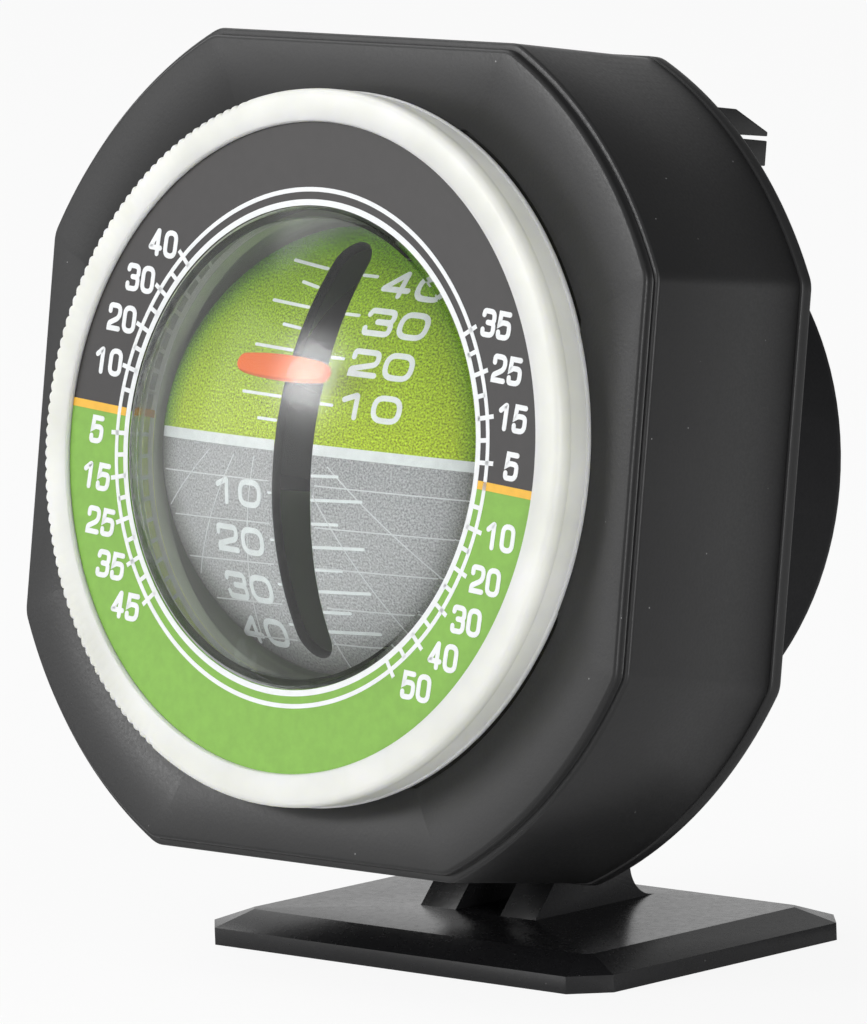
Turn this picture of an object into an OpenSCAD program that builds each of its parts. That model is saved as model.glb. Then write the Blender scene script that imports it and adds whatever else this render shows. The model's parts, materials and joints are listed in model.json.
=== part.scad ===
// Two-axis dial inclinometer on a tilting bracket, with a stick-on base plate.
// The origin is the centre of the base plate's underside: X right, Y back, Z up.
// Pieces of the tilting head are drawn in the head frame, whose origin is the
// dial centre on the front face, with Y running back along the dial axis.

/* [Head] */
// Width of the front face
head_w = 85.3; // [82:0.1:96]
// Height of the front face
head_h = 84.3; // [82:0.1:96]
// Radius of the arcs that cut the four corners
corner_r = 47.1; // [46:0.1:50]
// Depth from the front face to the parting line
shell_d = 23.4; // [22:0.1:32]
// Narrowing of the left and right sides from front to parting line
shell_draft = 1.2; // [0.2:0.1:1.6]
// Narrowing of the arc-cut corners from front to parting line
corner_draft = 0.9; // [0.2:0.1:1.6]
// Wall thickness of the front shell at the parting line
shell_wall = 2.2; // [1.6:0.1:3]
// Thickness of the front panel
panel_t = 3; // [2.4:0.1:4]
// Step between the raised front panel and the ledge
step_d = 1; // [0.6:0.1:1.6]
// Depth of the recess round the bezel's foot
recess_d = 0.6; // [0.4:0.1:1]
// Inset of the raised front panel from the ledge
step_in = 0.75; // [0.4:0.05:1.4]
// Thickness of the back cover
cover_t = 1.7; // [1.2:0.1:2.6]
// Distance of each cover screw from the dial axis, across and up
post_xy = 29.5; // [28.5:0.1:30]
// Radius of the screw posts
post_r = 2.8; // [2.4:0.1:3]

/* [Instrument can] */
// Outer radius of the can behind the back cover
can_r = 30; // [29:0.1:31]
// Distance from the front face to the rear end of the can
can_end = 46; // [44:0.1:50]
// Wall of the can
can_wall = 2; // [1.4:0.1:2.2]
// Rounding of the can's rear edge
can_round = 1.8; // [1:0.1:4]
// Thickness of the can's mounting flange
can_flange_t = 1.6; // [1.2:0.1:2.4]

/* [Bezel and dial] */
// Gap from the can's outside to the bezel's inner edge
bezel_clear = 3; // [2.8:0.1:3.4]
// Width of the bezel's front face
bezel_w = 3.8; // [3.6:0.1:4.4]
// Height of the bezel above the front face
bezel_h = 4.7; // [4.2:0.1:6]
// Rounding of the bezel's outer front edge
bezel_round = 1.1; // [0.4:0.1:1.6]
// Thickness of the bezel's skirt inside the panel opening
skirt_w = 2.6; // [2:0.1:3]
// Drop of the dial's face below the bezel's front
dial_drop = 0.7; // [0.3:0.1:1]
// Thickness of the dial plate
dial_t = 1; // [0.6:0.1:1.4]
// Radius of the hole in the dial plate
dial_hole_r = 24.7; // [24.6:0.1:25.2]
// Thickness of the retainer behind the front panel
retainer_t = 1.2; // [0.8:0.1:1.6]
// Overlap of the retainer behind the panel
retainer_lap = 1.5; // [1:0.1:2]

/* [Dome lens] */
// Height of the dome above the dial's face
dome_h = 7; // [6.8:0.1:9]
// Wall of the clear dome
dome_wall = 1; // [0.8:0.1:1.2]
// Inset of the dome's flange from the can's outside
dome_flange_in = 0.6; // [0.4:0.1:1]
// Thickness of the dome's flange
dome_flange_t = 1.6; // [1:0.1:2]
// Thickness of the dome's gasket
gasket_t = 1; // [0.6:0.1:1.6]
// Depth from the front face to the can's front rim
rim_y = 4; // [3.6:0.1:5]
// Wall of the ring that clamps the dome
clamp_wall = 1.2; // [1:0.1:1.4]
// Depth from the dial's face to the clamp ring's face
clamp_drop = 3.7; // [3:0.1:4]
// Reach of the clamp ring down the outside of the can
clamp_skirt = 4; // [2:0.5:6]

/* [Globe] */
// Radius of the globe face's round outline
globe_r = 22.9; // [22:0.1:23]
// Curvature radius of the face, up and down
globe_curve_v = 34.5; // [32:0.5:40]
// Curvature radius of the face, side to side
globe_curve_h = 63; // [50:1:80]
// Distance from the dial's face forward to the globe's front
globe_proud = 0.8; // [0.2:0.1:1.2]
// Thickness of the globe's face
globe_t = 1.2; // [0.8:0.1:1.6]
// Width of the pointer slot in its middle
slot_w = 5.4; // [4.4:0.1:6]
// Width of the pointer slot at its ends
slot_end_w = 4.8; // [3.6:0.1:5.2]
// Length of the pointer slot
slot_len = 42.4; // [40.5:0.1:43]
// Half length of the slot's widest stretch
slot_swell = 7; // [4:0.5:10]
// Roll of the globe at rest, clockwise from the front
globe_roll = 1.86; // [-5:0.01:5]

/* [Pitch pointer] */
// Radius from the pitch axle to the pointer's middle
swing_r = 25; // [24.5:0.1:25.5]
// Depth from the front face to the pitch axle
pitch_y = 16.4; // [16:0.1:16.8]
// Reading of the pitch pointer at rest
pitch_reading = 18.6; // [15:0.1:25]
// Width of the orange pointer flag
flag_w = 12.8; // [10:0.1:14]
// Height of the orange pointer flag
flag_h = 2.9; // [2:0.1:3.4]
// Thickness of the orange pointer flag
flag_t = 1; // [0.6:0.1:1.2]
// Radius of the pitch axle
axle_r = 1; // [0.8:0.05:1.2]
// Radius of the pitch pendulum's weight
pitch_weight_r = 3; // [2.4:0.1:3.2]
// Length of the pitch pendulum's weight
pitch_weight_l = 12; // [8:0.5:14]
// Drop of the pitch weight's middle below its axle
pitch_weight_drop = 8; // [7.4:0.1:8]
// Backward lead of the pitch weight that balances the pointer
pitch_lead = 8.4; // [6:0.1:12]
// Width of the pointer arm
arm_w = 1; // [0.8:0.1:1.4]
// Height of the pointer arm
arm_h = 1.4; // [1:0.1:2]
// Radius of the pointer arm's hub
hub_r = 2.6; // [2.2:0.1:3]
// Width of the pointer arm's hub
hub_w = 4; // [3:0.5:6]
// Radius of the stalk that carries the pitch weight
stalk_r = 0.8; // [0.6:0.1:1]
// Width of the black band that the arm carries behind the slot
band_w = 9; // [7:0.5:12]
// Thickness of that band
band_t = 0.6; // [0.5:0.1:1]
// Reach of the band below the pointer, in degrees
band_below = 27.8; // [20:0.1:30]
// Reach of the band above the pointer, in degrees
band_above = 46; // [40:0.5:50]
// Outer radius of the pitch bushes
pitch_bush_r = 2.2; // [1.8:0.1:2.6]

/* [Roll pendulum] */
// Radius of the roll shaft
shaft_r = 1.5; // [1.2:0.1:1.8]
// Outer radius of the roll bushes
bush_r = 3; // [2.6:0.1:3.4]
// Length of each roll bush
bush_l = 3; // [2:0.1:3.4]
// Distance between the yoke's cheeks
yoke_w = 20; // [18.5:0.5:22]
// Thickness of the yoke
yoke_t = 1.5; // [1.2:0.1:2]
// Height of the yoke's cheeks
cheek_h = 10; // [8:0.5:12]
// Distance from the pitch axle back to the yoke's bridge
bridge_gap = 11.8; // [11.8:0.1:12.4]
// Width of the roll weight
roll_weight_w = 16; // [12:0.5:17]
// Height of the roll weight
roll_weight_h = 7.5; // [5:0.5:7.5]
// Depth of the roll weight
roll_weight_d = 9; // [6:0.5:9]
// Distance from the roll axis to the foot of the roll weight
roll_weight_foot = 20; // [20:0.1:21]
// Sideways place of each screw in the roll weight
weight_screw_x = 4; // [3.5:0.1:5]
// Radius of the boss behind the yoke's bridge
boss_r = 4; // [3:0.1:5]
// Length of the boss behind the yoke's bridge
boss_l = 2; // [1:0.5:3]
// Radius of the bearing block
block_r = 6; // [5:0.1:6.4]
// Radius of the bearing block's flange
block_flange_r = 12; // [11.5:0.1:13]
// Thickness of the bearing block's flange
block_flange_t = 1.6; // [1.2:0.1:2]
// Radius of the circle of screws in that flange
block_screw_r = 9; // [8.8:0.1:9.4]
// Height of the step that each roll bush seats on
bush_step = 0.6; // [0.4:0.1:1]
// Room behind the roll shaft's end
shaft_room = 1.6; // [1:0.1:1.8]

/* [Bracket] */
// Tilt of the head at rest, dial facing up
head_tilt = 9.4; // [0:0.1:20]
// Height of the tilt pivot above the surface
pivot_z = 12; // [11.8:0.1:14]
// Distance of the tilt pivot behind the base plate's middle
pivot_y = 4.1; // [2:0.1:6]
// Depth from the front face to the tilt pivot
pivot_depth = 37.1; // [35.6:0.1:38]
// Distance of the tilt pivot below the can
pivot_drop = 7; // [6.8:0.1:9]
// Sideways place of the bracket on the base plate
bracket_x = -1.7; // [-4:0.1:4]
// Radius of the bracket ears round the pivot
ear_r = 5.5; // [5:0.1:6]
// Thickness of each bracket ear
ear_t = 5; // [3:0.1:6]
// Width of the lug between the ears
lug_w = 6; // [5:0.1:8]
// Radius of the lug round the pivot
lug_r = 5.2; // [4.5:0.1:6]
// Play of the lug on each side between the ears
lug_play = 0.2; // [0.1:0.05:0.3]
// Radius of the pivot screw's shank
pivot_r = 2; // [1.5:0.1:2.4]
// Distance that the ears' front foot stands before the pivot
ear_front = 9.1; // [8:0.1:10]
// Rise of the ears' sloping front edge, in degrees
ear_slope = 48.4; // [45:0.1:55]
// Radius of the fillet at the ears' rear foot
ear_fillet = 3.6; // [2:0.1:5]

/* [Base plate] */
// Width of the base plate
base_w = 56.8; // [50:0.1:80]
// Depth of the base plate
base_d = 40.8; // [36:0.1:60]
// Height of the base plate's upright edge
base_edge = 1.8; // [1.2:0.1:2.4]
// Thickness of the base plate
base_t = 3.3; // [2.8:0.1:3.6]
// Width of the bevel round the base plate's top
base_bevel = 4.2; // [2:0.1:5]
// Cut across each corner of the base plate
base_corner = 3.4; // [2:0.1:6]
// Thickness of the adhesive pad in the base plate's underside
pad_t = 1; // [0.6:0.1:1.2]
// Width of the rim round the adhesive pad
pad_rim = 5; // [3:0.1:8]

/* [Lead clip] */
// Sideways place of the clip's outer face on the back cover
clip_x = 27.3; // [24:0.1:28]
// Width of the clip
clip_w = 6; // [4:0.1:8]
// Height of the clip's slit above the dial centre
clip_z = 34.9; // [33:0.1:35]
// Reach of the clip's jaws behind the back cover
clip_reach = 7.5; // [5:0.1:9]
// Thickness of the clip's slit
clip_slit = 0.45; // [0.3:0.05:1]
// Height of the clip's upper jaw
clip_up = 2.7; // [2:0.1:3]
// Height of the clip's lower jaw
clip_low = 2.8; // [2:0.1:4]

/* [Fasteners] */
// Radius of the small screws' shanks
screw_r = 1.1; // [0.9:0.05:1.3]
// Radius of the small screws' heads
screw_head_r = 2.1; // [1.8:0.1:2.4]
// Height of the small screws' heads
screw_head_h = 1.3; // [1:0.1:1.6]
// Depth that the small screws grip
screw_grip = 4; // [3:0.5:5]
// Radius of the pivot screw's head
pivot_head_r = 3.8; // [3.2:0.1:4.4]
// Height of the pivot screw's head
pivot_head_h = 2.2; // [1.6:0.1:3]
// Width of the pivot nut across its flats
nut_af = 7; // [6:0.1:8]
// Thickness of the pivot nut
nut_t = 3; // [2:0.1:3.4]
// Thickness of the pivot washer
washer_t = 0.8; // [0.5:0.1:1.2]

/* [Clearances] */
// Gap between pieces that move past each other
run_gap = 0.35; // [0.3:0.05:0.4]
// Gap between pieces of one body that are seated together
seat_gap = 0.1; // [0.02:0.01:0.2]
// Gap between the globe's face and the pointer band behind it
band_clear = 0.6; // [0.4:0.1:1]
// Radial clearance of a shaft in its bush
bush_fit = 0.05; // [0.02:0.01:0.08]

/* [Hidden] */
$fn = 96;
eps = 0.01;
over = 1;
far = 200;

dial_y = dial_drop - bezel_h;
shell_back_w = head_w - 2 * shell_draft;
bezel_in_r = can_r + bezel_clear;
bezel_r = bezel_in_r + bezel_w;
skirt_r = bezel_in_r + skirt_w;
opening_r = skirt_r + run_gap;
bezel_foot = recess_d - run_gap;
bezel_back = panel_t + run_gap;
retainer_r = opening_r + retainer_lap;
can_in_r = can_r - can_wall;
flange_back = shell_d - 3 * seat_gap;
flange_front = flange_back - can_flange_t;
cover_back = shell_d + cover_t;

dome_r = dial_hole_r - run_gap;
dome_sphere_r = (dome_r * dome_r + dome_h * dome_h) / (2 * dome_h);
dome_centre_y = dial_y - dome_h + dome_sphere_r;
gasket_front = rim_y - gasket_t;
dome_flange_front = gasket_front - dome_flange_t;
dome_flange_r = can_r - dome_flange_in;
clamp_front = dial_y + clamp_drop;
clamp_in_r = can_r + 2 * seat_gap;
clamp_out_r = clamp_in_r + clamp_wall;

globe_front = dial_y - globe_proud;
band_r = pitch_y - globe_front - globe_t - band_clear;
bridge_y = pitch_y + bridge_gap;
shaft_front = bridge_y + seat_gap;
block_front = bridge_y + yoke_t + boss_l + run_gap;
can_floor = can_end - can_wall;
shaft_back = can_floor - shaft_room;
weight_top = roll_weight_h - roll_weight_foot;
plumb = -head_tilt - pitch_lead;

pivot_below = can_r + pivot_drop;
ear_gap = lug_w + 2 * lug_play;
ear_out = ear_gap / 2 + ear_t;
nut_r = nut_af / 2 / cos(30);

black = "#1d1d1e";
cover_black = "#262627";
ivory = "#f0f2e2";
dial_green = "#8cc452";
steel = "#b9bbbe";
brass = "#b8974c";

// ---------- frames ----------

// Puts the head frame on the bracket's pivot, tilted back
module head() {
    translate([0, pivot_y, pivot_z])
        rotate([-head_tilt, 0, 0])
            translate([0, -pivot_depth, pivot_below])
                children();
}

// Turns the globe and its pendulum to their roll at rest
module rolled() {
    head() rotate([0, globe_roll, 0]) children();
}

// Turns the pitch pendulum about its axle to its reading at rest
module pitched(angle) {
    rolled() translate([0, pitch_y, 0]) rotate([-angle, 0, 0]) children();
}

// Stands a cylinder along Y, from y0 to y1
module rod_y(r, y0, y1) {
    translate([0, y0, 0]) rotate([-90, 0, 0]) cylinder(h = y1 - y0, r = r);
}

// Lays a cylinder along X, centred
module rod_x(r, length) {
    rotate([0, 90, 0]) cylinder(h = length, r = r, center = true);
}

// Turns a profile of [radius, y] points about the dial axis
module turned() {
    rotate([-90, 0, 0]) rotate_extrude($fn = 128) children();
}

// ---------- head outline ----------

// Face outline: a rectangle whose corners are cut by one circle; behind, it is the narrowed one
module face_outline(inset, behind) {
    intersection() {
        square([head_w - 2 * inset - behind * 2 * shell_draft, head_h - 2 * inset], center = true);
        circle(r = corner_r - inset - behind * corner_draft, $fn = 180);
    }
}

// Slab of the face outline from y0 to y1; behind is 0 at the ledge and 1 at the parting line
module face_slab(inset, y0, y1, behind) {
    translate([0, y0, 0])
        rotate([-90, 0, 0])
            linear_extrude(height = y1 - y0)
                face_outline(inset, behind);
}

// Corner positions of the four cover screws
module at_posts() {
    for (x = [-1, 1], z = [-1, 1])
        translate([x * post_xy, 0, z * post_xy])
            children();
}

// Body that narrows evenly from the ledge to the parting line
module drafted_body() {
    intersection() {
        translate([0, step_d, 0])
            rotate([-90, 0, 0])
                cylinder(h = shell_d - step_d, r1 = corner_r, r2 = corner_r - corner_draft, $fn = 180);
        hull() {
            translate([-head_w / 2, step_d, -head_h / 2])
                cube([head_w, eps, head_h]);
            translate([-shell_back_w / 2, shell_d - eps, -head_h / 2])
                cube([shell_back_w, eps, head_h]);
        }
    }
}

// ---------- base ----------

// Plan of the base plate with its cut corners
module plate_plan(inset) {
    w = base_w / 2 - inset;
    d = base_d / 2 - inset;
    c = base_corner - inset * (2 - sqrt(2));
    polygon([
        [-w + c, -d], [w - c, -d], [w, -d + c], [w, d - c],
        [w - c, d], [-w + c, d], [-w, d - c], [-w, -d + c]
    ]);
}

// Side view of one ear: sloping front, round head and filleted rear foot
module ear_side() {
    rise = pivot_z - base_t;
    back = ear_r;
    difference() {
        union() {
            circle(r = ear_r);
            polygon([
                [-ear_front, -rise],
                [back + ear_fillet, -rise],
                [back + ear_fillet, -rise + ear_fillet],
                [back, -rise + ear_fillet],
                [back, 0],
                [-ear_front + rise / tan(ear_slope), 0]
            ]);
        }
        translate([back + ear_fillet, -rise + ear_fillet])
            circle(r = ear_fillet);
    }
}

module base_plate() {
    color(black)
    difference() {
        union() {
            linear_extrude(height = base_edge) plate_plan(0);
            hull() {
                translate([0, 0, base_edge - eps]) linear_extrude(height = eps) plate_plan(0);
                translate([0, 0, base_t - eps]) linear_extrude(height = eps) plate_plan(base_bevel);
            }
            for (side = [-1, 1])
                translate([bracket_x + side * (ear_gap + ear_t) / 2 - ear_t / 2, pivot_y, pivot_z])
                    rotate([90, 0, 90])
                        linear_extrude(height = ear_t)
                            ear_side();
        }
        translate([bracket_x, pivot_y, pivot_z]) rod_x(pivot_r + bush_fit, far);
        translate([0, 0, -eps]) linear_extrude(height = pad_t + eps) plate_plan(pad_rim);
    }
}

module adhesive_pad() {
    color("#5c5d60")
    linear_extrude(height = pad_t - seat_gap) plate_plan(pad_rim + seat_gap);
}

// Pan-head screw along X through both ears, its head on the right
module pivot_screw() {
    color(steel)
    translate([bracket_x + ear_out, pivot_y, pivot_z])
    rotate([0, 90, 0])
    difference() {
        union() {
            translate([0, 0, -2 * ear_out - nut_t - washer_t])
                cylinder(h = 2 * ear_out + nut_t + washer_t + eps, r = pivot_r);
            cylinder(h = pivot_head_h, r = pivot_head_r);
        }
        for (a = [0, 90])
            rotate([0, 0, a])
                translate([-pivot_r, -pivot_r / 5, pivot_head_h / 2])
                    cube([2 * pivot_r, 2 * pivot_r / 5, pivot_head_h]);
    }
}

module pivot_washer() {
    color(steel)
    translate([bracket_x - ear_out - washer_t, pivot_y, pivot_z])
    rotate([0, 90, 0])
    difference() {
        cylinder(h = washer_t, r = pivot_head_r);
        translate([0, 0, -eps]) cylinder(h = washer_t + 2 * eps, r = pivot_r + bush_fit);
    }
}

module pivot_nut() {
    color(steel)
    translate([bracket_x - ear_out - washer_t - nut_t, pivot_y, pivot_z])
    rotate([0, 90, 0])
    difference() {
        cylinder(h = nut_t, r = nut_r, $fn = 6);
        translate([0, 0, -eps]) cylinder(h = nut_t + 2 * eps, r = pivot_r + bush_fit);
    }
}

// ---------- housing ----------

module front_shell() {
    color(black)
    head()
    difference() {
        union() {
            face_slab(step_in, 0, step_d + eps, 0);
            drafted_body();
        }
        rod_y(opening_r, -eps, panel_t + eps);
        rod_y(bezel_r + run_gap, -eps, recess_d);
        rod_y(retainer_r + run_gap, panel_t, bezel_back + retainer_t + run_gap);
        difference() {
            face_slab(shell_wall, panel_t, shell_d + eps, 1);
            at_posts() rod_y(post_r, 0, flange_front - seat_gap);
        }
        at_posts() rod_y(screw_r, flange_front - screw_grip, shell_d);
    }
}

// Two jaws with a narrow slit between them, moulded on the back cover
module lead_clip() {
    nose = clip_up / 6;
    flat = clip_reach / 3;
    translate([clip_x, cover_back - eps, clip_z])
    rotate([90, 0, -90])
    linear_extrude(height = clip_w) {
        polygon([
            [0, clip_slit / 2], [-clip_reach, clip_slit / 2], [-clip_reach, clip_slit / 2 + nose],
            [-flat, clip_up], [0, clip_up]
        ]);
        polygon([
            [0, -clip_slit / 2], [-clip_reach, -clip_slit / 2],
            [-clip_reach, -clip_low], [0, -clip_low]
        ]);
    }
}

module back_cover() {
    color(cover_black)
    head()
    difference() {
        union() {
            face_slab(-2 * seat_gap, shell_d, cover_back, 1);
            lead_clip();
        }
        rod_y(can_r + 2 * seat_gap, shell_d - over, cover_back + over);
        at_posts() rod_y(screw_r + seat_gap, shell_d - over, cover_back + over);
    }
}

module cover_screws() {
    color(steel)
    head()
    at_posts() {
        rod_y(screw_r, flange_front - screw_grip, cover_back + eps);
        difference() {
            rod_y(screw_head_r, cover_back, cover_back + screw_head_h);
            for (a = [0, 90])
                rotate([0, a, 0])
                    translate([-screw_r, cover_back + screw_head_h / 2, -screw_r / 4])
                        cube([2 * screw_r, screw_head_h, screw_r / 2]);
        }
    }
}

// Outline of the can from its front rim to its rounded rear edge
module can_profile() {
    difference() {
        union() {
            translate([0, rim_y]) square([can_r, can_end - can_round - rim_y]);
            translate([0, rim_y]) square([can_r - can_round, can_end - rim_y]);
            translate([can_r - can_round, can_end - can_round]) circle(r = can_round);
        }
        translate([-over, rim_y - over]) square([can_in_r + over, can_floor - rim_y + over]);
    }
}

module instrument_can() {
    color(cover_black)
    head()
    difference() {
        union() {
            turned() can_profile();
            difference() {
                face_slab(shell_wall + 3 * seat_gap, flange_front, flange_back, 1);
                rod_y(can_in_r, 0, far);
            }
            difference() {
                translate([bracket_x, pivot_depth, -pivot_below]) {
                    rod_x(lug_r, lug_w);
                    translate([-lug_w / 2, -lug_r, 0])
                        cube([lug_w, 2 * lug_r, pivot_drop + can_wall / 2]);
                }
                rod_y(can_in_r + can_wall / 4, 0, far);
            }
        }
        translate([bracket_x, pivot_depth, -pivot_below]) rod_x(pivot_r + bush_fit, lug_w + over);
        at_posts() rod_y(screw_r + seat_gap, flange_front - over, flange_back + over);
        at_block_screws() rod_y(screw_r, can_floor - over, can_floor + can_wall / 2);
    }
}

// Clear dome with a straight skirt and a flange at its foot
module dome_lens() {
    color("#dfe9ee", 0.3)
    head()
    turned()
    difference() {
        union() {
            intersection() {
                translate([0, dome_centre_y]) circle(r = dome_sphere_r, $fn = 180);
                translate([0, dial_y - dome_h]) square([dome_r, dome_h]);
            }
            translate([0, dial_y - eps]) square([dome_r, gasket_front - dial_y]);
            translate([0, dome_flange_front]) square([dome_flange_r, dome_flange_t]);
        }
        intersection() {
            translate([0, dome_centre_y]) circle(r = dome_sphere_r - dome_wall, $fn = 180);
            translate([-over, dial_y - dome_h]) square([dome_r - dome_wall + over, far]);
        }
        translate([-over, dial_y]) square([dome_r - dome_wall + over, far]);
        translate([-far, -far]) square([far, 2 * far]);
    }
}

module dome_gasket() {
    color("#2a2a2a")
    head()
    difference() {
        rod_y(dome_flange_r, gasket_front, rim_y);
        rod_y(can_in_r, gasket_front - over, rim_y + over);
    }
}

// Ring that clamps the dome's flange on the can's front rim
module dome_clamp_ring() {
    color("#767870")
    head()
    difference() {
        rod_y(clamp_out_r, clamp_front, rim_y + clamp_skirt);
        rod_y(dome_r + 2 * seat_gap, clamp_front - over, rim_y);
        rod_y(clamp_in_r, dome_flange_front - seat_gap, far);
    }
}

// Screws that hold the bearing block on the can's floor
module at_block_screws() {
    for (a = [90, 210, 330])
        rotate([0, a, 0])
            translate([block_screw_r, 0, 0])
                children();
}

module bearing_block() {
    color(cover_black)
    head()
    difference() {
        union() {
            rod_y(block_r, block_front, can_floor);
            rod_y(block_flange_r, can_floor - block_flange_t, can_floor);
        }
        rod_y(bush_r, block_front - over, block_front + bush_l);
        rod_y(bush_r - bush_step, block_front, shaft_back - bush_l);
        rod_y(bush_r, shaft_back - bush_l, can_floor - bush_step);
        at_block_screws() rod_y(screw_r, block_front, far);
    }
}

module bearing_screws() {
    color(steel)
    head()
    at_block_screws() {
        rod_y(screw_r, can_floor - block_flange_t - eps, can_floor + can_wall / 2);
        rod_y(screw_head_r, can_floor - block_flange_t - screw_head_h, can_floor - block_flange_t);
    }
}

module roll_bushes() {
    color(brass)
    head()
    for (y = [block_front, shaft_back - bush_l])
        difference() {
            rod_y(bush_r, y, y + bush_l);
            rod_y(shaft_r + bush_fit, y - over, y + bush_l + over);
        }
}

// ---------- bezel ----------

// Cross-section of the bezel, with its rounded outer front edge
module bezel_profile() {
    difference() {
        union() {
            translate([bezel_in_r, -bezel_h + bezel_round])
                square([bezel_r - bezel_in_r, bezel_foot + bezel_h - bezel_round]);
            translate([bezel_in_r, -bezel_h])
                square([bezel_r - bezel_in_r - bezel_round, bezel_foot + bezel_h]);
            translate([bezel_r - bezel_round, -bezel_h + bezel_round])
                circle(r = bezel_round);
            translate([bezel_in_r, bezel_foot - eps])
                square([skirt_r - bezel_in_r, bezel_back - bezel_foot]);
        }
        translate([bezel_in_r - over, dial_y])
            square([over + run_gap, far]);
    }
}

module bezel_ring() {
    color(ivory)
    head()
    turned() bezel_profile();
}

module dial_plate() {
    color(dial_green)
    head()
    difference() {
        rod_y(bezel_in_r + run_gap - seat_gap, dial_y + seat_gap / 2, dial_y + dial_t);
        rod_y(dial_hole_r, dial_y - over, dial_y + dial_t + over);
    }
}

module bezel_retainer() {
    color("#8d9095")
    head()
    difference() {
        rod_y(retainer_r, bezel_back, bezel_back + retainer_t);
        rod_y(bezel_in_r + run_gap, bezel_back - over, bezel_back + retainer_t + over);
    }
}

// ---------- globe and roll pendulum ----------

// Solid bounded in front by the face's double curve, set back by a depth
module barrel(depth) {
    rise = globe_curve_v - depth;
    flat = globe_curve_h - depth;
    translate([0, globe_front + globe_curve_v, 0])
        rotate([0, 90, 0])
            rotate_extrude($fn = 180)
                intersection() {
                    translate([rise - flat, 0]) circle(r = flat, $fn = 240);
                    translate([0, -2 * globe_r]) square([far, 4 * globe_r]);
                }
}

// Pointer slot: widest in its middle, with round ends
module slot_plan() {
    reach = (slot_len - slot_end_w) / 2;
    polygon([
        [-slot_end_w / 2, reach], [-slot_w / 2, slot_swell], [-slot_w / 2, -slot_swell],
        [-slot_end_w / 2, -reach], [slot_end_w / 2, -reach], [slot_w / 2, -slot_swell],
        [slot_w / 2, slot_swell], [slot_end_w / 2, reach]
    ]);
    for (z = [-reach, reach])
        translate([0, z]) circle(d = slot_end_w);
}

module globe_face() {
    color("#7da23c")
    rolled()
    difference() {
        intersection() {
            barrel(0);
            rod_y(globe_r, globe_front - over, pitch_y);
        }
        barrel(globe_t);
        rotate([90, 0, 0]) linear_extrude(height = far, center = true) slot_plan();
    }
}

// Two cheeks that carry the pitch axle
module yoke_cheeks() {
    intersection() {
        for (side = [-1, 1])
            translate([side * (yoke_w + yoke_t) / 2 - yoke_t / 2, globe_front, -cheek_h / 2])
                cube([yoke_t, bridge_y + yoke_t / 2 - globe_front, cheek_h]);
        barrel(globe_t + seat_gap);
    }
}

// Plan of the plate that joins the cheeks, with a plumb tab for the roll weight
module bridge_plan() {
    rotate([0, 0, -globe_roll])
        square([yoke_w + yoke_t, cheek_h - yoke_t], center = true);
    translate([-roll_weight_w / 2, -roll_weight_foot])
        square([roll_weight_w, roll_weight_foot]);
}

module globe_yoke() {
    color("#3b3c3e")
    difference() {
        union() {
            rolled() yoke_cheeks();
            head() {
                translate([0, bridge_y + yoke_t, 0])
                    rotate([90, 0, 0])
                        linear_extrude(height = yoke_t)
                            bridge_plan();
                rod_y(boss_r, bridge_y + yoke_t / 2, bridge_y + yoke_t + boss_l);
            }
        }
        rolled() translate([0, pitch_y, 0]) rod_x(pitch_bush_r, far);
        head() rod_y(shaft_r, shaft_front, far);
        head() at_weight_screws() rod_y(screw_r, bridge_y - over, far);
    }
}

// Screws that hold the roll weight on the bridge
module at_weight_screws() {
    for (side = [-1, 1])
        translate([side * weight_screw_x, 0, weight_top - roll_weight_h / 2])
            children();
}

module roll_shaft() {
    color(steel)
    head() rod_y(shaft_r, shaft_front, shaft_back);
}

module roll_weight() {
    color(brass)
    head()
    difference() {
        translate([-roll_weight_w / 2, bridge_y - roll_weight_d, -roll_weight_foot])
            cube([roll_weight_w, roll_weight_d, roll_weight_h]);
        at_weight_screws() rod_y(screw_r, bridge_y - screw_grip, far);
    }
}

module weight_screws() {
    color(steel)
    head()
    at_weight_screws() {
        rod_y(screw_r, bridge_y - screw_grip, bridge_y + yoke_t + eps);
        rod_y(screw_head_r, bridge_y + yoke_t, bridge_y + yoke_t + screw_head_h);
    }
}

module pitch_bushes() {
    color(brass)
    rolled()
    translate([0, pitch_y, 0])
    for (side = [-1, 1])
        translate([side * (yoke_w + yoke_t) / 2, 0, 0])
            difference() {
                rod_x(pitch_bush_r, yoke_t);
                rod_x(axle_r + bush_fit, yoke_t + over);
            }
}

// ---------- pitch pendulum ----------

module pitch_axle() {
    color(steel)
    rolled() translate([0, pitch_y, 0]) rod_x(axle_r, yoke_w + 2 * yoke_t);
}

// Side view of the wedge that bounds the pointer band's ends
module band_wedge() {
    polygon([
        [0, 0],
        [-far * cos(band_below), -far * sin(band_below)],
        [-far * cos(band_above), far * sin(band_above)]
    ]);
}

// Curved band that darkens the slot round the pointer
module pointer_band() {
    intersection() {
        difference() {
            rod_x(band_r, band_w);
            rod_x(band_r - band_t, band_w + over);
        }
        translate([-band_w, 0, 0])
            rotate([90, 0, 90])
                linear_extrude(height = 2 * band_w)
                    band_wedge();
    }
}

module pointer_arm() {
    color("#2b2b2c")
    difference() {
        union() {
            pitched(pitch_reading) {
                pointer_band();
                rod_x(hub_r, hub_w);
                translate([-arm_w / 2, flag_t / 2 - swing_r, -arm_h / 2])
                    cube([arm_w, swing_r - flag_t / 2, arm_h]);
            }
            pitched(plumb)
                translate([0, 0, -pitch_weight_drop - stalk_r])
                    cylinder(h = pitch_weight_drop, r = stalk_r);
        }
        rolled() translate([0, pitch_y, 0]) rod_x(axle_r, far);
    }
}

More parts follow.
